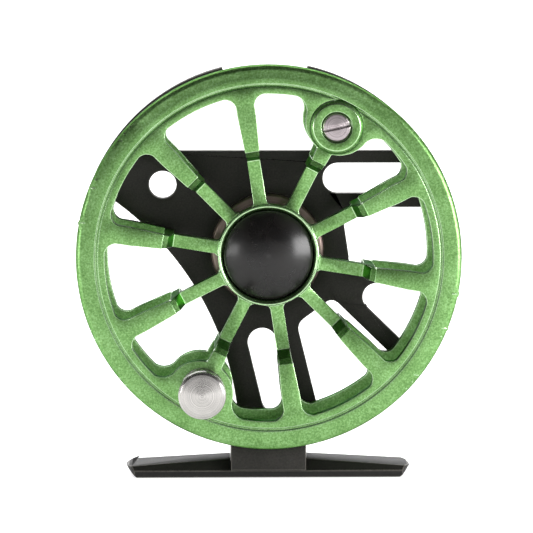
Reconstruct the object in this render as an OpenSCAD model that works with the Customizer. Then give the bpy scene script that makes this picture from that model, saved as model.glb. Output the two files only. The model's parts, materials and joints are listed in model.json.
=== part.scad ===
// Fly reel: open-spoked large-arbour spool on a half frame with a sealed disc drag.
// Millimetres. +Z is up, the spool turns about Y, and the front of the reel faces -Y.
// The origin is the middle of the flat face under the foot.
// Depths named d are measured back from the spool's front face.

/* [Spool] */
// Outside diameter of the spool
spool_d = 85; // [75:1:95]
// Depth of the spool, front flange to back flange
spool_w = 20; // [18:0.5:24]
// Number of spokes
spokes = 10; // [8:1:12]
// Angle of the first spoke, anticlockwise from the right
spoke_a = 26.9; // [0:0.1:45]
// Radius at which the line is wound
arbor_r = 23.6; // [20:0.1:26]
// Width of a spoke at the rim
spoke_w = 4.1; // [3:0.1:6]
// Thickness of each flange
flange_t = 3; // [2:0.1:4]
// Outside radius of the hub ring
hub_r = 11.3; // [11:0.1:13]

/* [Handle] */
// Distance of the handle from the spool axis
handle_r = 32.4; // [28:0.1:34]
// Angle of the handle, anticlockwise from the right
handle_a = -117.1; // [-180:0.1:180]
// Length of the handle knob
knob_l = 10; // [8:0.5:24]
// Largest radius of the handle knob
knob_r = 5.2; // [4:0.1:8]
// Radius of the round pads under the handle and the counterweight
pad_r = 7.4; // [6:0.1:9]

/* [Frame] */
// Height of the spool axis above the foot's face
axis_h = 50; // [45:0.5:60]
// Outside radius of the frame ring
ring_r = 42.7; // [38:0.1:50]
// Inside radius of the frame ring
ring_in = 38.2; // [33:0.1:46]
// Thickness of the back plate
plate_t = 3.5; // [3:0.1:5]

/* [Foot] */
// Overall length of the foot
foot_l = 63.8; // [58:0.2:68]
// Width of the foot
foot_w = 12.5; // [10:0.5:18]
// Thickness of the foot beside the stem
foot_t = 4; // [3:0.1:7]
// Width of the frame's stem
stem_w = 16.8; // [14:0.2:20]

/* [Drag] */
// Outside radius of the drag knob
drag_r = 15.2; // [13:0.1:18]
// Number of finger scallops on the drag knob
scallops = 16; // [8:1:24]
// Radius of the drag cover
cover_r = 12.72; // [12:0.01:13]

/* [Hidden] */
$fn = 96;
front_y = -14;
spool_r = spool_d / 2;
window_r = spool_r * 0.85;
groove_r = spool_r * 0.895;
pad_at = handle_r + 1.3;
back_r = spool_r - 1.2;
step_r = arbor_r - 2.2;
hub_d = 7.4;
arm_d = 8;
plate_d = spool_w + 2;
cup_r = cover_r + 0.08;
house_r = cup_r + 2.7;
house_d = plate_d + 10.6;
spindle_r = 3;
rotor_r = 6.2;
foot_base = 1.8;
stem_d = 6.5;
handle = handle_r * [cos(handle_a), sin(handle_a)];
screw_x = 4.6;
pins = 3;
pin_at = 7.2;
click_at = 9.5;
detent_at = 13.9;
detents = 24;
// How far a corner's arc bites into the walls that it joins.
bite = 0.05;

// A flat outline in the reel's plane, given thickness from depth d0 to depth d1.
module slab(d0, d1)
  translate([0, front_y + d1, axis_h]) rotate([90, 0, 0]) linear_extrude(d1 - d0) children();

// A profile of radius and depth, turned about the spool axis.
module turned()
  translate([0, front_y, axis_h]) rotate([-90, 0, 0]) rotate_extrude() children();

// A profile of radius and depth, turned about an axis at p in the reel's plane.
module turned_at(p) translate([p[0], 0, p[1]]) turned() children();

// A ring with a square section.
module ring(r0, r1, d0, d1) turned() translate([r0, d0]) square([r1 - r0, d1 - d0]);

// A closed stack of spring coils.
module coils(p, r, wire, d0, n, pitch)
  for (i = [0:n - 1]) turned_at(p) translate([r, d0 + i * pitch]) circle(wire, $fn = 24);

function turn(r, a) = r * [cos(a), sin(a)];

// Fills the corner between a spoke's straight side and the inside of the rim.
module rim_corner(h, rf) {
  c = [sqrt(pow(window_r - rf + bite, 2) - pow(h + rf - bite, 2)), h + rf - bite];
  t = c * window_r / (window_r - rf);
  difference() {
    polygon([[c[0], h - 0.2], c, t * 1.02, [window_r + 0.6, h - 0.2]]);
    translate(c) circle(rf);
  }
}

// Fills the corner between a round pad and the inside of the rim.
module pad_corner(rf) {
  at = window_r - rf + bite;
  g = acos((pow(at, 2) + pow(pad_at, 2) - pow(pad_r + rf - bite, 2)) / (2 * at * pad_at));
  c = turn(at, g);
  difference() {
    polygon([[pad_at, 0], c, c * (window_r / at) * 1.02, [window_r + 0.8, 3]]);
    translate(c) circle(rf);
  }
}

// Fills the corner between the hub ring and a spoke's straight side.
module hub_corner(h, rf) {
  c = [sqrt(pow(hub_r + rf - bite, 2) - pow(h + rf - bite, 2)), h + rf - bite];
  difference() {
    polygon([c * (hub_r - 0.3) / (hub_r + rf), c, [c[0], h - 0.2], [hub_r - 0.5, 0]]);
    translate(c) circle(rf);
  }
}

// One flange seen from the front: the spokes outside the arbour and the two pads.
module flange_plan() {
  w = spoke_w / 2;
  for (i = [0:spokes - 1]) rotate(spoke_a + i * 360 / spokes) {
    polygon([[arbor_r, -w + 0.45], [window_r - 5, -w], [window_r + 0.5, -w],
      [window_r + 0.5, w], [window_r - 5, w], [arbor_r, w - 0.45]]);
    for (m = [0, 1]) mirror([0, m]) rim_corner(w, 2.6);
  }
  for (s = [0, 180]) rotate(handle_a + s) {
    intersection() { translate([pad_at, 0]) circle(pad_r); circle(window_r + 1.2); }
    for (m = [0, 1]) mirror([0, m]) pad_corner(3.5);
  }
}

// Anodised spool: rim, flanges, arbour bars, recessed inner spokes and hub.
module spool() {
  w = spoke_w / 2 - 0.6;
  color([0.45, 0.68, 0.38]) difference() {
    union() {
      turned() difference() {
        union() {
          polygon([[window_r, 0.2], [groove_r, 0.2], [groove_r, 0], [spool_r - 1.3, 0.35],
            [spool_r, 1.6], [spool_r, 5.2], [spool_r - 1.4, 5.2], [spool_r - 1.4, flange_t],
            [window_r, flange_t]]);
          translate([spool_r - 1.3, 1.65]) circle(1.3, $fn = 48);
        }
        translate([groove_r - 0.3, -1]) square([0.6, 1.9]);
      }
      slab(0.2, flange_t) flange_plan();
      slab(spool_w - 2.5, spool_w) {
        difference() { circle(back_r); circle(window_r); }
        flange_plan();
      }
      for (i = [0:spokes - 1]) translate([0, front_y, axis_h])
        rotate([0, -spoke_a - i * 360 / spokes, 0]) translate([0, 0, -w]) linear_extrude(2 * w)
          polygon([[arbor_r + 0.1, 0.2], [arbor_r - 1, 1.3], [step_r, arm_d], [step_r, spool_w - 0.3],
            [arbor_r + 0.1, spool_w - 0.3]]);
      slab(arm_d, arm_d + 2.8) for (i = [0:spokes - 1]) rotate(spoke_a + i * 360 / spokes) {
        polygon([[hub_r - 0.5, -w], [step_r + 1, -w], [step_r + 1, w], [hub_r - 0.5, w]]);
        for (m = [0, 1]) mirror([0, m]) hub_corner(w, 1.6);
      }
      turned() polygon([[10.25, 8.1], [10.75, hub_d], [hub_r - 0.2, hub_d], [hub_r, hub_d + 0.2],
        [hub_r, 12], [10.6, 12.8], [10.6, spool_w + 0.2], [8.65, spool_w + 0.2], [8.65, 16.2],
        [5.4, 16.2], [5.4, 15.8], [6.55, 15.8], [6.55, 11.8], [3.4, 11.8], [3.4, 11.25],
        [10.25, 11.25]]);
    }
    for (i = [0:detents - 1]) rotate_on_axis(i * 360 / detents)
      translate([click_at, front_y + spool_w + 0.65, 0]) sphere(0.86, $fn = 24);
    for (s = [1, -1]) turned_at(handle * s) translate([0, -2]) square([1.6, 9]);
    turned_at(-handle) translate([0, -2]) square([5.85, 4.1]);
  }
}

// Places a feature at an angle about the spool axis.
module rotate_on_axis(a) translate([0, 0, axis_h]) rotate([0, -a, 0]) children();

// Needle clutch that drives the drag only when line is pulled out.
module one_way_clutch() color([0.6, 0.6, 0.62]) ring(rotor_r + 0.05, 8.6, 16.3, 20);

// Ball bearing at the front of the spindle.
module front_bearing() color([0.66, 0.66, 0.68]) turned() difference() {
  translate([spindle_r + 0.05, 11.85]) square([3.45, 3.9]);
  for (d = [11.85, 15.55]) translate([4.1, d]) square([1.4, 0.2]);
}

// Domed press button in the middle of the spool that frees it from the spindle.
module spool_cap() color([0.07, 0.07, 0.07]) turned() difference() {
  intersection() {
    translate([0, 4]) square([9.9, 5.8]);
    translate([0, 21.5]) circle(16.5, $fn = 192);
  }
  intersection() {
    translate([-1, 4]) square([10, 7]);
    translate([0, 21.5]) circle(15.3, $fn = 192);
  }
}

// Two coil springs under the button.
module cap_springs() color([0.7, 0.7, 0.7])
  for (s = [-1, 1]) coils([0, 6.4 * s], 1.1, 0.2, 10, 3, 0.5);

// Sliding plate that holds the spindle's groove.
module latch_plate() color([0.62, 0.62, 0.6]) slab(10.3, 11.1) difference() {
  intersection() { circle(7.7); square([20, 8.4], center = true); }
  translate([0.88, 0]) circle(3.25);
}

// Balance weight opposite the handle.
module counterweight() color([0.45, 0.68, 0.38]) turned_at(-handle) difference() {
  polygon([[0, 2.05], [5.75, 2.05], [5.75, -0.3], [5.15, -0.9], [3.4, -0.9], [3.4, 0.5], [0, 0.5]]);
  translate([-1, 0]) square([2.6, 3]);
}

// Slotted screw through the balance weight.
module counterweight_screw() color([0.75, 0.73, 0.72]) difference() {
  turned_at(-handle) polygon([[0, -0.8], [2.8, -0.8], [3.1, -0.5], [3.1, 0.45], [1.5, 0.45],
    [1.5, flange_t], [0, flange_t]]);
  translate([-handle[0], front_y - 0.9, axis_h - handle[1]]) rotate([0, -12, 0])
    cube([8, 2.2, 0.8], center = true);
}

// Steel post that the handle turns on.
module handle_post() color([0.72, 0.72, 0.74]) turned_at(handle) polygon([[0, 0.3 - knob_l],
  [2.1, 0.3 - knob_l], [2.1, 1 - knob_l], [1.6, 1 - knob_l], [1.6, flange_t], [0, flange_t]]);

// Collar between the handle and its pad.
module handle_collar() color([0.5, 0.5, 0.5]) turned_at(handle)
  translate([1.65, -0.9]) square([3.1, 1.05]);

// Turned metal handle knob, hollow behind its closed nose.
module handle_knob() color([0.78, 0.78, 0.78]) turned_at(handle) difference() {
  polygon([[0, -1.2 - knob_l], [0.5, -1.2 - knob_l], [knob_r - 0.5, -0.55 - knob_l], [knob_r, -0.05 - knob_l],
    [knob_r, 2.2 - knob_l], [knob_r - 0.9, 4 - knob_l], [knob_r - 0.9, -3.2], [knob_r - 0.3, -2.4],
    [knob_r - 0.3, -1.5], [knob_r - 0.6, -1.2], [0, -1.2]]);
  translate([-1, -0.1 - knob_l]) square([3.55, knob_l + 1]);
}

// Two sleeves pressed into the handle knob.
module handle_bushes() color([0.85, 0.82, 0.7]) turned_at(handle)
  for (d = [-4.4, 1.6 - knob_l]) translate([1.66, d]) square([0.86, 3]);

// The back plate's outline inside the ring, with every opening cut out.
module plate_plan() difference() {
  circle(ring_in + 0.5);
  intersection() {
    circle(ring_in);
    union() {
      translate([-50, 22.5]) square([100, 40]);
      translate([-74.7, -44.2]) circle(68.3, $fn = 360);
      translate([16.1, 16.25]) circle(3.45);
      translate([16.1, 12.8]) square([40, 6.9]);
      translate([20.2, 6.8]) circle(2.8);
      translate([20.95, -1.9]) circle(2.35);
      polygon([[17.42, 6.4], [20.2, 9.6], [45, 9.6], [45, -7.4], [20.7, -4.24], [18.62, -1.6]]);
      translate([24.9, -10.9]) circle(3.1);
      polygon([[25.2, -7.82], [45, -10.5], [45, -34.9], [22.7, -13.1], [24.9, -10.9]]);
      translate([9.8, -18.1]) circle(2.6);
      translate([14.7, -13.7]) circle(2);
      polygon([[7.25, -18.7], [8.1, -16.1], [13.4, -12.2], [16, -12.1], [45, -40.3], [45, -46],
        [14, -46]]);
    }
  }
  translate([-23.7, 14.8]) circle(3.1);
  translate([-1.1, -21.3]) circle(3.3);
  translate([2.1, -34.5]) circle(3.3);
  translate([0.5, -27.9]) rotate(-76.4) square([13.6, 6.6], center = true);
}

// One-piece frame: ring, pierced back plate, drag housing and stem.
module frame() color([0.11, 0.11, 0.105]) difference() {
  union() {
    slab(plate_d, plate_d + plate_t) plate_plan();
    turned() polygon([[ring_in, 20.9], [ring_in + 0.4, 20.5], [ring_r - 1.1, 20.5],
      [ring_r - 1.1, 18.8], [ring_r - 0.2, 18.8], [ring_r, 19], [ring_r, 25.6],
      [ring_r - 0.6, 26.2], [ring_in + 0.4, 26.2], [ring_in, 25.8]]);
    turned() polygon([[cup_r - 1, plate_d], [house_r, plate_d], [house_r, house_d - 0.8],
      [house_r - 0.8, house_d], [4.6, house_d], [4.6, house_d + 5.4], [spindle_r + 0.03, house_d + 5.4],
      [spindle_r + 0.03, house_d - 2], [cup_r - 1, house_d - 2]]);
    difference() {
      translate([-stem_w / 2, front_y + stem_d, foot_base])
        cube([stem_w, 26.2 - stem_d, axis_h - foot_base - 40.5]);
      slab(0, 20.2) circle(ring_r + 0.3);
    }
  }
  ring(0, cup_r, 20, house_d - 2);
  slab(18, 30) intersection() {
    difference() { circle(60); circle(ring_r - 1.3); }
    polygon([[0, 0], turn(90, 77.6), turn(90, 103.8)]);
  }
  for (i = [0:pins - 1]) rotate_on_axis(90 + i * 360 / pins)
    translate([pin_at, front_y + house_d - 3, 0]) rotate([-90, 0, 0]) cylinder(r = 1.08, h = 4, $fn = 32);
  rotate_on_axis(30) translate([detent_at, front_y + house_d - 3.6, 0]) rotate([-90, 0, 0])
    cylinder(r = 0.88, h = 5, $fn = 32);
  for (s = [-1, 1]) translate([s * screw_x, 0, 0]) cylinder(r = 1.53, h = 6.3, $fn = 32);
}

// Foot that the rod's reel seat grips.
module reel_foot() color([0.09, 0.09, 0.085]) difference() {
  intersection() {
    translate([0, foot_w / 2, 0]) rotate([90, 0, 0]) linear_extrude(foot_w) polygon(
      [[-foot_l / 2 + 2.3, 0], [foot_l / 2 - 2.3, 0], [foot_l / 2, 2.1], [foot_l / 2 - 0.4, 2.5],
      [stem_w / 2 + 0.1, foot_t], [stem_w / 2 + 0.1, foot_base], [-stem_w / 2 - 0.1, foot_base],
      [-stem_w / 2 - 0.1, foot_t], [-foot_l / 2 + 0.4, 2.5], [-foot_l / 2, 2.1]]);
    translate([-foot_l / 2, 0, 0]) rotate([90, 0, 90]) linear_extrude(foot_l) polygon(
      [[-foot_w / 2, 0], [foot_w / 2, 0], [foot_w / 2, 1.6], [foot_w / 2 - 2.4, foot_t + 0.1],
      [2.4 - foot_w / 2, foot_t + 0.1], [-foot_w / 2, 1.6]]);
    linear_extrude(10) {
      square([foot_l - 8, foot_w + 1], center = true);
      for (s = [-1, 1]) translate([s * (foot_l / 2 - 12), 0]) circle(12, $fn = 144);
    }
  }
  for (s = [-1, 1]) translate([s * screw_x, 0, 0]) {
    translate([0, 0, -1]) cylinder(r = 1.6, h = 6, $fn = 32);
    translate([0, 0, -0.1]) cylinder(r1 = 3.05, r2 = 1.6, h = 1.6, $fn = 48);
  }
}

// Countersunk screws that hold the foot to the stem.
module foot_screws() color([0.3, 0.3, 0.31]) for (s = [-1, 1]) translate([s * screw_x, 0, 0])
  difference() {
    union() {
      translate([0, 0, 0.1]) cylinder(r1 = 2.75, r2 = 1.5, h = 1.3, $fn = 48);
      cylinder(r = 1.5, h = 6, $fn = 32);
    }
    translate([0, 0, -0.5]) cylinder(r = 1, h = 1.4, $fn = 6);
  }

// Fixed steel spindle with the latch groove near its front end.
module spindle() color([0.7, 0.7, 0.72]) turned() polygon([[0, 9.9], [2.6, 9.9], [spindle_r, 10.15],
  [spindle_r, 10.2], [2.3, 10.2], [2.3, 11.2], [spindle_r, 11.2], [spindle_r, house_d + 5.7],
  [1.3, house_d + 5.7], [1.3, house_d], [0, house_d]]);

// Cover that closes the drag housing behind the spool.
module drag_cover() color([0.5, 0.44, 0.41]) difference() {
  turned() polygon([[6.6, 20.8], [cover_r - 0.5, 20.8], [cover_r, 21.3], [cover_r, 23.8],
    [6.6, 23.8], [6.6, 22.9], [7.3, 22.9], [7.3, 21.8], [6.6, 21.8]]);
  rotate_on_axis(0) translate([click_at, front_y + 19, 0]) rotate([-90, 0, 0])
    cylinder(r = 0.88, h = 4.4, $fn = 32);
  for (a = [60, 180, 300]) rotate_on_axis(a) translate([10.6, front_y + 19, 0]) rotate([-90, 0, 0])
    cylinder(r = 0.7, h = 2.8, $fn = 32);
}

// Sleeve that carries the turning drag discs.
module drag_rotor() color([0.55, 0.55, 0.57]) turned() polygon([[3.4, 16.4], [rotor_r, 16.4],
  [rotor_r, 23.85], [6.8, 23.85], [6.8, 26.05], [rotor_r, 26.05], [rotor_r, 28], [4.95, 28],
  [4.95, 24], [3.4, 24]]);

// Ball bearing inside the rotor.
module rear_bearing() color([0.66, 0.66, 0.68]) ring(spindle_r + 0.05, 4.9, 24.1, 27.9);

// Rubber ring that seals the rotor against the cover.
module rotor_seal() color([0.05, 0.05, 0.05]) turned() translate([6.76, 22.35]) circle(0.5, $fn = 32);

// Two friction discs that turn with the rotor.
module friction_discs() color([0.12, 0.12, 0.13])
  for (d = [23.86, 25.3]) ring(6.85, 12.2, d, d + 0.74);

// Steel disc keyed to the housing, between the friction discs.
module steel_disc() color([0.68, 0.68, 0.7]) ring(7.3, 12.7, 24.65, 25.25);

// Plate that squeezes the discs.
module pressure_plate() color([0.6, 0.6, 0.62]) ring(7.3, 12.5, 26.1, 27.1);

// Two dished spring washers behind the pressure plate.
module spring_washers() color([0.66, 0.66, 0.66]) turned() {
  polygon([[6.6, 27.9], [6.6, 28.3], [11, 27.5], [11, 27.12]]);
  polygon([[6.6, 28.34], [6.6, 28.66], [11, 28.05], [11, 27.65]]);
}

// Pins that carry the knob's thrust through the housing wall.
module thrust_pins() color([0.68, 0.68, 0.7]) for (i = [0:pins - 1]) rotate_on_axis(90 + i * 360 / pins)
  translate([pin_at, front_y + 29.7, 0]) rotate([-90, 0, 0]) cylinder(r = 1, h = house_d + 2.3 - 29.7, $fn = 32);

// Nut driven along by the drag knob's thread.
module thrust_nut() color([0.7, 0.58, 0.3]) ring(5, 9.38, house_d + 2.3, house_d + 4.3);

// Scalloped drag knob at the back of the reel.
module drag_knob() color([0.45, 0.68, 0.38]) difference() {
  turned() polygon([[9.45, house_d + 0.6], [drag_r, house_d + 0.6], [drag_r, 39.6], [drag_r - 1.6, 41.6],
    [9, 41.6], [8, 40.9], [7, 40.9], [7, house_d + 5.6], [4.65, house_d + 5.6],
    [4.65, house_d + 4.6], [9.45, house_d + 4.6]]);
  for (i = [0:scallops - 1]) rotate_on_axis(i * 360 / scallops)
    translate([drag_r + 1.1, front_y + house_d, 0]) rotate([-90, 0, 0]) cylinder(r = 1.9, h = 12, $fn = 48);
  for (i = [0:detents - 1]) rotate_on_axis(30 + i * 360 / detents)
    translate([detent_at, front_y + house_d + 0.15, 0]) sphere(0.86, $fn = 24);
}

// Screw in the end of the spindle that holds the drag knob on.
module knob_screw() color([0.68, 0.68, 0.7]) turned() polygon([[0, house_d + 0.6], [1.27, house_d + 0.6],
  [1.27, house_d + 5.75], [5.2, house_d + 5.75], [5.2, house_d + 6.9], [0, house_d + 6.9]]);

// Cap pressed into the middle of the drag knob.
module knob_cap() color([0.07, 0.07, 0.07]) turned() polygon([[0, 39.9], [6.95, 39.9],
  [6.95, 40.7], [6.4, 41.2], [0, 41.5]]);

// Ball that clicks over the dimples behind the spool's hub.
module click_ball() color([0.75, 0.75, 0.77]) rotate_on_axis(0)
  translate([click_at, front_y + 21.05, 0]) sphere(0.8, $fn = 32);

// Spring behind the click ball.
module click_spring() color([0.7, 0.7, 0.7]) coils([click_at, 0], 0.5, 0.15, 22.2, 4, 0.34);

// Ball that holds the drag knob in its steps.
module detent_ball() color([0.75, 0.75, 0.77]) rotate_on_axis(30)
  translate([detent_at, front_y + house_d - 0.25, 0]) sphere(0.8, $fn = 32);

// Spring behind the detent ball.
module detent_spring() color([0.7, 0.7, 0.7]) coils(turn(detent_at, 30), 0.5, 0.15, 29.2, 5, 0.34);

frame();
reel_foot();
foot_screws();
spindle();
spool();
one_way_clutch();
front_bearing();
spool_cap();
cap_springs();
latch_plate();
counterweight();
counterweight_screw();
handle_post();
handle_collar();
handle_knob();
handle_bushes();
drag_cover();
drag_rotor();
rear_bearing();
rotor_seal();
friction_discs();
steel_disc();
pressure_plate();
spring_washers();
thrust_pins();
thrust_nut();
drag_knob();
knob_screw();
knob_cap();
click_ball();
click_spring();
detent_ball();
detent_spring();
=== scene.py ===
"""Fly reel on a white studio sweep: finishes, bevelled edges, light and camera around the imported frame."""
import json
import math

import bpy
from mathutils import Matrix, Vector


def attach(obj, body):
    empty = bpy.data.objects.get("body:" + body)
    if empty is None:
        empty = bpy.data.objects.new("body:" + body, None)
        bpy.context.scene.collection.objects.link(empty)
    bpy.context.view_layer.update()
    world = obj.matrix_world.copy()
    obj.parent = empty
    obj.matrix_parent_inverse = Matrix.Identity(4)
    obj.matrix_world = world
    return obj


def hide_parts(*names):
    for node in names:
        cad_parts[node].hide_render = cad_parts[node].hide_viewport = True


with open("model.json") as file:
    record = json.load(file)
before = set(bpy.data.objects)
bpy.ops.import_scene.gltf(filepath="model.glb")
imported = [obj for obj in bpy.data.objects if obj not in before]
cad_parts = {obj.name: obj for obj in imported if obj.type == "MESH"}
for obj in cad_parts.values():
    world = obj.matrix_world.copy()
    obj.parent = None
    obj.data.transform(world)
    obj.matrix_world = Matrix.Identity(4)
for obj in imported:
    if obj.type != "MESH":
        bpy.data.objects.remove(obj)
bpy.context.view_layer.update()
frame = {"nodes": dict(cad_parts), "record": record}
MM = 0.001
AXIS_Z = 50 * MM
FRONT_Y = -14 * MM
SPOOL_AXIS = (0, 0, AXIS_Z)
HANDLE_ANGLE = math.radians(-117.1)
HANDLE_RADIUS = 32.4 * MM
HANDLE_AT = (HANDLE_RADIUS * math.cos(HANDLE_ANGLE), 0, AXIS_Z + HANDLE_RADIUS * math.sin(HANDLE_ANGLE))
WEIGHT_AT = (-HANDLE_AT[0], 0, 2 * AXIS_Z - HANDLE_AT[2])
MERGE_WITHIN = 0.004 * MM
BEVEL_OVER = math.radians(32)
SMOOTH_UNDER = math.radians(28)


def linear(hex_colour):
    """An sRGB hex colour as the linear RGBA that shaders take."""
    parts = [int(hex_colour[i:i + 2], 16) / 255 for i in (1, 3, 5)]
    return [*(c / 12.92 if c <= 0.04045 else ((c + 0.055) / 1.055) ** 2.4 for c in parts), 1.0]


def add(tree, kind, settings=None, links=None, stops=()):
    """Adds a node with its properties, sockets, ramp stops (position, hex colour) and links."""
    node = tree.nodes.new(kind)
    for name, value in (settings or {}).items():
        if isinstance(name, str) and hasattr(node, name):
            setattr(node, name, value)
        else:
            node.inputs[name].default_value = value
    for name, output in (links or {}).items():
        tree.links.new(output, node.inputs[name])
    for index, (position, colour) in enumerate(stops):
        element = node.color_ramp.elements[index] if index < 2 else node.color_ramp.elements.new(position)
        element.position = position
        element.color = linear(colour)
    return node


def finish_named(name, settings):
    """A new material with its Principled shader's constant values set."""
    material = bpy.data.materials.new(name)
    material.use_nodes = True
    shader = material.node_tree.nodes["Principled BSDF"]
    for socket, value in settings.items():
        shader.inputs[socket].default_value = value
    return material, material.node_tree, shader


def dress(tree, shader, tint, bump, rough_map=None):
    """Joins a finish's colour, relief and, where it varies, its roughness to the shader."""
    tree.links.new(tint.outputs["Color"], shader.inputs["Base Color"])
    tree.links.new(bump.outputs["Normal"], shader.inputs["Normal"])
    if rough_map:
        tree.links.new(rough_map.outputs["Result"], shader.inputs["Roughness"])


def blasted_anodised(name, stops, settings, grain_mm, relief_mm, rough, mottle_mm=7.0):
    """Bead-blasted aluminium under dyed anodising: a satin metal whose fine grain sparkles,
    with a slow mottle in the dye. The blast grain is near 0.1 mm, drawn coarser so that it shows."""
    material, tree, shader = finish_named(name, settings)
    place = add(tree, "ShaderNodeTexCoord")
    grain = add(tree, "ShaderNodeTexNoise", {"Scale": 1000 / grain_mm, "Detail": 4.0, "Roughness": 0.65},
                {"Vector": place.outputs["Object"]})
    mottle = add(tree, "ShaderNodeTexNoise", {"Scale": 1000 / mottle_mm, "Detail": 5.0, "Roughness": 0.6},
                 {"Vector": place.outputs["Object"]})
    both = add(tree, "ShaderNodeMath", {"operation": "MULTIPLY_ADD", 1: 0.4},
               {0: mottle.outputs["Fac"], 2: grain.outputs["Fac"]})
    tint = add(tree, "ShaderNodeValToRGB", links={"Fac": both.outputs["Value"]}, stops=stops)
    rough_map = add(tree, "ShaderNodeMapRange", {"To Min": rough - 0.07, "To Max": rough + 0.09},
                    {"Value": grain.outputs["Fac"]})
    bump = add(tree, "ShaderNodeBump", {"Strength": 0.5, "Distance": relief_mm * MM},
               {"Height": grain.outputs["Fac"]})
    dress(tree, shader, tint, bump, rough_map)
    return material


def turned_metal(name, stops, settings, centre, line_mm, relief_mm, rough):
    """Metal turned on a lathe: fine rings around its axis, left by the tool, with a few deeper ones.
    The rings spread each reflection outwards from the axis, so a turned face shows light and dark wedges."""
    material, tree, shader = finish_named(name, {"Anisotropic": 0.8, **settings})
    place = add(tree, "ShaderNodeTexCoord")
    centred = add(tree, "ShaderNodeMapping", {"Location": [-c for c in centre]},
                  {"Vector": place.outputs["Object"]})
    axes = add(tree, "ShaderNodeSeparateXYZ", links={"Vector": centred.outputs["Vector"]})
    flat = add(tree, "ShaderNodeCombineXYZ", links={"X": axes.outputs["X"], "Z": axes.outputs["Z"]})
    radius = add(tree, "ShaderNodeVectorMath", {"operation": "LENGTH"}, {0: flat.outputs["Vector"]})
    depth = add(tree, "ShaderNodeMath", {"operation": "MULTIPLY_ADD", 1: 0.6},
                {0: axes.outputs["Y"], 2: radius.outputs["Value"]})
    rings = add(tree, "ShaderNodeTexNoise", {"noise_dimensions": "1D", "Scale": 1000 / line_mm, "Detail": 3.0,
                                             "Roughness": 0.7}, {"W": depth.outputs["Value"]})
    wear = add(tree, "ShaderNodeTexNoise", {"Scale": 1000 / 3.0, "Detail": 3.0},
               {"Vector": place.outputs["Object"]})
    both = add(tree, "ShaderNodeMath", {"operation": "MULTIPLY_ADD", 1: 0.35},
               {0: wear.outputs["Fac"], 2: rings.outputs["Fac"]})
    tint = add(tree, "ShaderNodeValToRGB", links={"Fac": both.outputs["Value"]}, stops=stops)
    rough_map = add(tree, "ShaderNodeMapRange", {"To Min": rough - 0.05, "To Max": rough + 0.08},
                    {"Value": wear.outputs["Fac"]})
    bump = add(tree, "ShaderNodeBump", {"Strength": 0.6, "Distance": relief_mm * MM},
               {"Height": rings.outputs["Fac"]})
    dress(tree, shader, tint, bump, rough_map)
    tree.links.new(flat.outputs["Vector"], shader.inputs["Tangent"])
    return material


def moulded(name, stops, settings, grain_mm, relief_mm, rough):
    """A moulded surface: even colour with a faint flow mottle and the mould's fine texture."""
    material, tree, shader = finish_named(name, settings)
    place = add(tree, "ShaderNodeTexCoord")
    skin = add(tree, "ShaderNodeTexNoise", {"Scale": 1000 / grain_mm, "Detail": 2.0},
               {"Vector": place.outputs["Object"]})
    flow = add(tree, "ShaderNodeTexNoise", {"Scale": 1000 / 5.0, "Detail": 3.0, "Distortion": 0.6},
               {"Vector": place.outputs["Object"]})
    tint = add(tree, "ShaderNodeValToRGB", links={"Fac": flow.outputs["Fac"]}, stops=stops)
    rough_map = add(tree, "ShaderNodeMapRange", {"To Min": rough - 0.04, "To Max": rough + 0.05},
                    {"Value": flow.outputs["Fac"]})
    bump = add(tree, "ShaderNodeBump", {"Strength": 0.3, "Distance": relief_mm * MM},
               {"Height": skin.outputs["Fac"]})
    dress(tree, shader, tint, bump, rough_map)
    return material


def woven_carbon(name):
    """Carbon-fibre friction disc: a 2 mm checker of tows in black resin, with fine fibres along them."""
    material, tree, shader = finish_named(name, {"Roughness": 0.5, "Coat Weight": 0.3,
                                                 "Coat Roughness": 0.25})
    place = add(tree, "ShaderNodeTexCoord")
    tows = add(tree, "ShaderNodeTexChecker", {"Scale": 1000 / 2.0, "Color1": (1, 1, 1, 1),
                                              "Color2": (0, 0, 0, 1)},
               {"Vector": place.outputs["Object"]})
    fibre = add(tree, "ShaderNodeTexNoise", {"Scale": 1000 / 0.25, "Detail": 2.0},
                {"Vector": place.outputs["Object"]})
    both = add(tree, "ShaderNodeMath", {"operation": "MULTIPLY_ADD", 1: 0.35},
               {0: fibre.outputs["Fac"], 2: tows.outputs["Fac"]})
    tint = add(tree, "ShaderNodeValToRGB", links={"Fac": both.outputs["Value"]},
               stops=[(0.1, "#141415"), (1.0, "#2c2c2f")])
    bump = add(tree, "ShaderNodeBump", {"Strength": 0.4, "Distance": 0.05 * MM},
               {"Height": both.outputs["Value"]})
    dress(tree, shader, tint, bump)
    return material


# Green dyed anodising on blasted aluminium: satin, sparkling, dark saturated green where it faces away.
green = blasted_anodised("green_anodised_aluminium", [(0.45, "#52773f"), (0.7, "#749f5f"), (0.95, "#9bc687")],
                         {"Metallic": 1.0, "Specular Tint": linear("#24541a")}, 0.42, 0.05, 0.34)
# The diamond-cut edges left brighter after blasting, made paler still as a painted highlight: thin shining
# lines around every opening.
green_edge_highlight = blasted_anodised("green_cut_edge_painted_highlight", [(0.45, "#93b984"), (0.95, "#c6e2b9")],
                             {"Metallic": 1.0}, 0.5, 0.01, 0.2)
# Black anodised, blasted frame: near-black with a warm, low sheen.
black = blasted_anodised("black_anodised_aluminium", [(0.45, "#1b1a18"), (0.95, "#2f2d2a")],
                         {"Metallic": 0.45, "Specular IOR Level": 0.35}, 0.4, 0.04, 0.46)
# Paler grey on every bevelled edge of the frame and foot: a painted edge highlight.
black_edge_highlight = blasted_anodised("black_edge_painted_highlight", [(0.45, "#3c3a36"), (0.95, "#5a5752")],
                             {"Metallic": 0.6}, 0.5, 0.01, 0.33)
# Black foot: the same anodising with little shine, so that its top stays dark.
foot_black = blasted_anodised("black_foot_anodised", [(0.45, "#11100f"), (0.95, "#1f1e1c")],
                              {"Specular IOR Level": 0.2}, 0.5, 0.02, 0.5)
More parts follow.
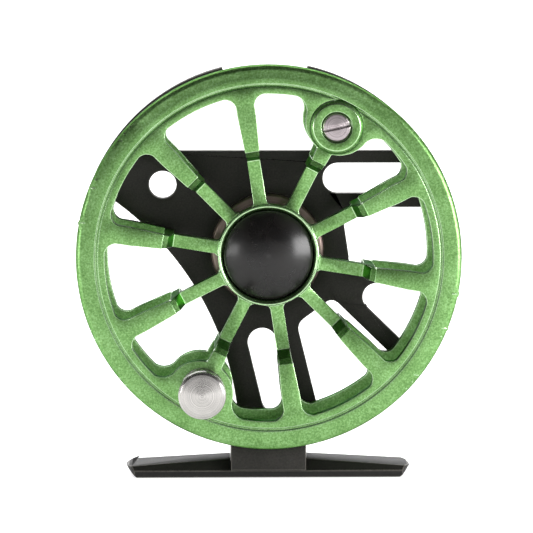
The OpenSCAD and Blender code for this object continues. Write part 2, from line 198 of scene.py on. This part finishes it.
# Gloss-black button: a polished moulding with soft, dark reflections.
gloss = moulded("gloss_black_button", [(0.3, "#0d0c0c"), (0.7, "#151312")],
                {"IOR": 1.5, "Specular IOR Level": 0.35, "Coat Weight": 0.1, "Coat Roughness": 0.15},
                0.6, 0.004, 0.27)
# Clear-anodised handle: bright turned aluminium with fine tool rings.
handle_metal = turned_metal("turned_clear_aluminium", [(0.4, "#989592"), (0.95, "#cfccc9")],
                            {"Metallic": 1.0}, HANDLE_AT, 0.22, 0.012, 0.22)
# Balance-weight screw and posts: turned stainless steel, a little warm and pink under the lights.
screw_metal = turned_metal("turned_stainless", [(0.4, "#8f8688"), (0.95, "#cdc3c5")],
                           {"Metallic": 1.0}, WEIGHT_AT, 0.3, 0.015, 0.27)
# Ground and turned steel on the spool's axis: cooler, with even rings.
steel = turned_metal("ground_stainless_steel", [(0.4, "#838181"), (0.95, "#bab7b5")],
                     {"Metallic": 1.0}, SPOOL_AXIS, 0.25, 0.01, 0.28)
# Drag cover: warm grey anodised and turned, with broad soft rings.
warm_grey = turned_metal("warm_grey_turned_cover", [(0.4, "#6b5c56"), (0.95, "#a08f88")],
                         {"Metallic": 1.0}, SPOOL_AXIS, 0.5, 0.02, 0.33)
# Blackened stainless foot screws.
screw_dark = moulded("blackened_stainless_screw", [(0.3, "#2c2b2b"), (0.7, "#454342")],
                     {"Metallic": 0.9}, 0.3, 0.01, 0.36)
# Black nitrile seal: matt, slightly powdery rubber.
rubber = moulded("nitrile_rubber", [(0.3, "#121212"), (0.7, "#1d1d1d")],
                 {"Sheen Weight": 0.2}, 0.2, 0.01, 0.7)
carbon = woven_carbon("woven_carbon_disc")
# Turned brass nut: yellow with tool rings.
brass = turned_metal("turned_brass", [(0.4, "#a8813a"), (0.95, "#dab764")],
                     {"Metallic": 1.0}, SPOOL_AXIS, 0.3, 0.012, 0.26)
# Acetal sleeves: waxy off-white plastic.
acetal = moulded("natural_acetal", [(0.3, "#d8d2bf"), (0.7, "#e6e1d2")],
                 {"Subsurface Weight": 0.1}, 0.4, 0.01, 0.42)

finish_of = {"frame_black": black, "foot_black": foot_black, "green_anodised": green, "cap_black": gloss,
             "knob_silver": handle_metal, "cover_grey": warm_grey, "steel": steel, "screw_dark": screw_dark,
             "rubber_black": rubber, "carbon_disc": carbon, "brass": brass, "acetal": acetal}
slot_of = {part["node"]: part["material_slot"] for part in frame["record"]["subparts"]}
body_of = {node: body for body, nodes in frame["record"]["behaviour"]["bodies"].items() for node in nodes}
finish_for = {name: finish_of[slot] for name, slot in slot_of.items()}
for name in ("counterweight_screw", "handle_post", "handle_collar"):
    finish_for[name] = screw_metal
for name, node in frame["nodes"].items():
    node.data.materials.clear()
    node.data.materials.append(finish_for[name])


def bevelled_copy(node_name, piece_name, width_mm, finish, edge_finish):
    """A copy of a CAD part whose sharp edges are broken by a small bevel in a second finish; where that
    finish is paler, it paints a highlight along the edges.
    """
    source = frame["nodes"][node_name]
    piece = source.copy()
    piece.data = source.data.copy()
    piece.name = piece_name
    piece.parent = None
    for key in list(piece.keys()):
        del piece[key]
    bpy.context.scene.collection.objects.link(piece)
    bpy.ops.object.select_all(action="DESELECT")
    piece.select_set(True)
    bpy.context.view_layer.objects.active = piece
    piece.data.materials.clear()
    piece.data.materials.append(finish)
    piece.data.materials.append(edge_finish)
    bpy.ops.object.mode_set(mode="EDIT")
    bpy.ops.mesh.select_all(action="SELECT")
    bpy.ops.mesh.remove_doubles(threshold=MERGE_WITHIN)
    bpy.ops.object.mode_set(mode="OBJECT")
    bevel = piece.modifiers.new("broken_edges", "BEVEL")
    bevel.width = width_mm * MM
    bevel.segments = 2
    bevel.limit_method = "ANGLE"
    bevel.angle_limit = BEVEL_OVER
    bevel.use_clamp_overlap = False
    bevel.material = 1
    bevel.miter_outer = "MITER_ARC"
    bpy.ops.object.modifier_apply(modifier=bevel.name)
    bpy.ops.object.shade_smooth_by_angle(angle=SMOOTH_UNDER)
    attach(piece, body_of[node_name])
    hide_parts(node_name)


bevelled_copy("spool", "spool_bevelled", 0.16, green, green_edge_highlight)
bevelled_copy("frame", "frame_bevelled", 0.2, black, black_edge_highlight)
bevelled_copy("reel_foot", "foot_bevelled", 0.2, foot_black, black_edge_highlight)
bevelled_copy("counterweight", "counterweight_bevelled", 0.12, green, green_edge_highlight)
bevelled_copy("counterweight_screw", "counterweight_screw_bevelled", 0.1, screw_metal, screw_metal)
bevelled_copy("handle_knob", "handle_knob_bevelled", 0.15, handle_metal, handle_metal)
bevelled_copy("spool_cap", "button_bevelled", 0.08, gloss, gloss)
bevelled_copy("drag_knob", "drag_knob_bevelled", 0.2, green, green_edge_highlight)
bevelled_copy("drag_cover", "drag_cover_bevelled", 0.12, warm_grey, warm_grey)
bevelled_copy("foot_screws", "foot_screws_bevelled", 0.1, screw_dark, screw_dark)

# A white sweep: the floor runs back and curves up into the backdrop.
SWEEP_FRONT, SWEEP_BACK, SWEEP_WIDTH = -2.5, 0.8, 8
SWEEP_RADIUS, SWEEP_TOP, BEND_STEPS = 0.5, 2.0, 12
SWEEP_DROP = 0.1 * MM
bpy.ops.object.select_all(action="DESELECT")
bpy.ops.mesh.primitive_plane_add(size=1, location=(0, (SWEEP_BACK + SWEEP_FRONT) / 2, -SWEEP_DROP))
sweep = bpy.context.active_object
sweep.name = "studio_sweep"
bpy.ops.object.mode_set(mode="EDIT")
bpy.ops.transform.resize(value=(SWEEP_WIDTH, SWEEP_BACK - SWEEP_FRONT, 1))
bpy.ops.mesh.select_all(action="DESELECT")
bpy.ops.object.mode_set(mode="OBJECT")
bpy.ops.object.transform_apply(location=True, rotation=True, scale=True)
for edge in sweep.data.edges:
    edge.select = all(sweep.data.vertices[end].co.y > SWEEP_BACK - 0.01 for end in edge.vertices)
for corner in sweep.data.vertices:
    corner.select = corner.co.y > SWEEP_BACK - 0.01
bpy.ops.object.mode_set(mode="EDIT")
bpy.ops.mesh.select_mode(type="EDGE")
before = (0.0, 0.0)
for step in range(1, BEND_STEPS + 1):
    bend = math.radians(90 * step / BEND_STEPS)
    now = (SWEEP_RADIUS * math.sin(bend), SWEEP_RADIUS * (1 - math.cos(bend)))
    bpy.ops.mesh.extrude_region_move(
        TRANSFORM_OT_translate={"value": (0, now[0] - before[0], now[1] - before[1])})
    before = now
bpy.ops.mesh.extrude_region_move(TRANSFORM_OT_translate={"value": (0, 0, SWEEP_TOP)})
bpy.ops.object.mode_set(mode="OBJECT")
bpy.ops.object.shade_smooth()
white_paper = finish_named("white_paper_sweep", {"Roughness": 0.8, "Base Color": linear("#f4f4f4"),
                                                 "Emission Color": (1, 1, 1, 1), "Emission Strength": 0.7})[0]
sweep.data.materials.append(white_paper)

# Display colours straight, so that white paper reads white and the green keeps its strength.
bpy.context.scene.view_settings.view_transform = "Standard"

# Soft studio light: brighter on the right than on the left, and dark overhead.
world = bpy.data.worlds.new("studio")
bpy.context.scene.world = world
world.use_nodes = True
sky = world.node_tree
heading = add(sky, "ShaderNodeTexCoord")
parts = add(sky, "ShaderNodeSeparateXYZ", links={"Vector": heading.outputs["Generated"]})
height = add(sky, "ShaderNodeMapRange", {"From Min": 0.05, "From Max": 0.75, "To Min": 1.0, "To Max": 0.12},
             {"Value": parts.outputs["Z"]})
side = add(sky, "ShaderNodeMapRange", {"From Min": -1.0, "From Max": 1.0, "To Min": 0.4, "To Max": 1.2},
           {"Value": parts.outputs["X"]})
glow = add(sky, "ShaderNodeMath", {"operation": "MULTIPLY"},
           {0: height.outputs["Result"], 1: side.outputs["Result"]})
background = sky.nodes["Background"]
background.inputs["Color"].default_value = (1, 1, 1, 1)
sky.links.new(glow.outputs["Value"], background.inputs["Strength"])


def soft_light(name, place, target, size, watts):
    """A rectangular softbox aimed at a point."""
    lamp = bpy.data.lights.new(name, "AREA")
    lamp.shape = "RECTANGLE"
    lamp.size, lamp.size_y = size
    lamp.energy = watts
    holder = bpy.data.objects.new(name, lamp)
    bpy.context.scene.collection.objects.link(holder)
    holder.location = place
    holder.rotation_euler = (Vector(target) - Vector(place)).to_track_quat("-Z", "Y").to_euler()


middle = Vector((0, 0, 0.047))

# A dark card in front of and above the reel, mirrored in the top of its face and never itself in view.
CARD_WIDTH, CARD_HEIGHT, CARD_AT = 0.6, 0.35, (-0.12, -0.2, 0.29)
bpy.ops.object.select_all(action="DESELECT")
bpy.ops.mesh.primitive_plane_add(size=1, location=CARD_AT, rotation=(math.radians(90), 0, 0))
card = bpy.context.active_object
card.name = "dark_card"
card.scale = (CARD_WIDTH, CARD_HEIGHT, 1)
bpy.ops.object.transform_apply(location=True, rotation=True, scale=True)
matt_card = finish_named("matt_black_card", {"Roughness": 0.9, "Base Color": linear("#0a0a0a")})[0]
card.data.materials.append(matt_card)
card.visible_camera = False
card.visible_shadow = False

soft_light("right_softbox", (0.75, -0.45, 0.12), middle, (0.5, 0.5), 10)
soft_light("left_softbox", (-0.8, -0.5, 0.1), middle, (0.35, 0.5), 3.5)
soft_light("backdrop_light", (0, 0.45, 0.9), (0, 0.9, 0), (1.5, 0.3), 8)

# The camera: a long lens a little above and to the left of the spool's axis.
azimuth, elevation, distance = math.radians(-1.2), math.radians(5.7), 0.6
back = Vector((math.sin(azimuth) * math.cos(elevation), -math.cos(azimuth) * math.cos(elevation),
               math.sin(elevation)))
aim = Vector((-0.0006, FRONT_Y, 0.0483))
camera = bpy.data.objects.new("camera", bpy.data.cameras.new("camera"))
bpy.context.scene.collection.objects.link(camera)
camera.location = aim + back * distance
camera.rotation_euler = (-back).to_track_quat("-Z", "Y").to_euler()
camera.data.lens = 184.6
camera.data.clip_start = 0.01
bpy.context.scene.camera = camera
